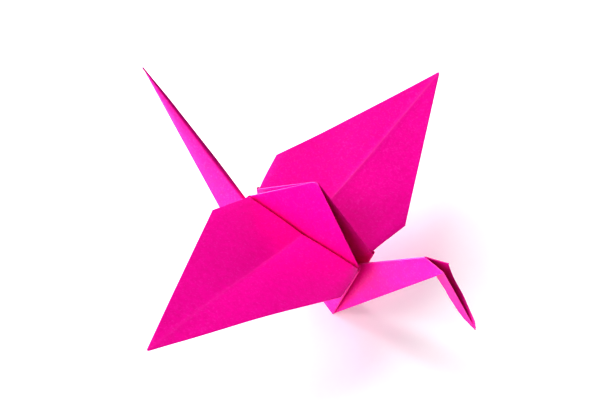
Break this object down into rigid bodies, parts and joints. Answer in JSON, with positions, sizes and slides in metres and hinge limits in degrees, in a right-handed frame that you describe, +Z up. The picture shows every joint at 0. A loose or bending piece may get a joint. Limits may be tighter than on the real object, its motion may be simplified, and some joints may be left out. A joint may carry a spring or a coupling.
{
  "type": "origami crane",
  "caption": "Paper crane folded from one square sheet, with spread wings, an open body, a pointed tail and a bent head; stands on its body's lower corners.",
  "frame": {"origin": "on the ground, under the middle of the crane's length and of its wing span", "axes": "+X from the tail towards the neck, +Y towards the far wing, +Z up; the crane stands on the ground on the lower corners of its body"},
  "size_m": [0.102, 0.1262, 0.0513],
  "materials": {
    "paper": "matt solid-dyed paper"
  },
  "bodies": {
    "root": {"paper_crane": "paper"}
  },
  "joints": []
}
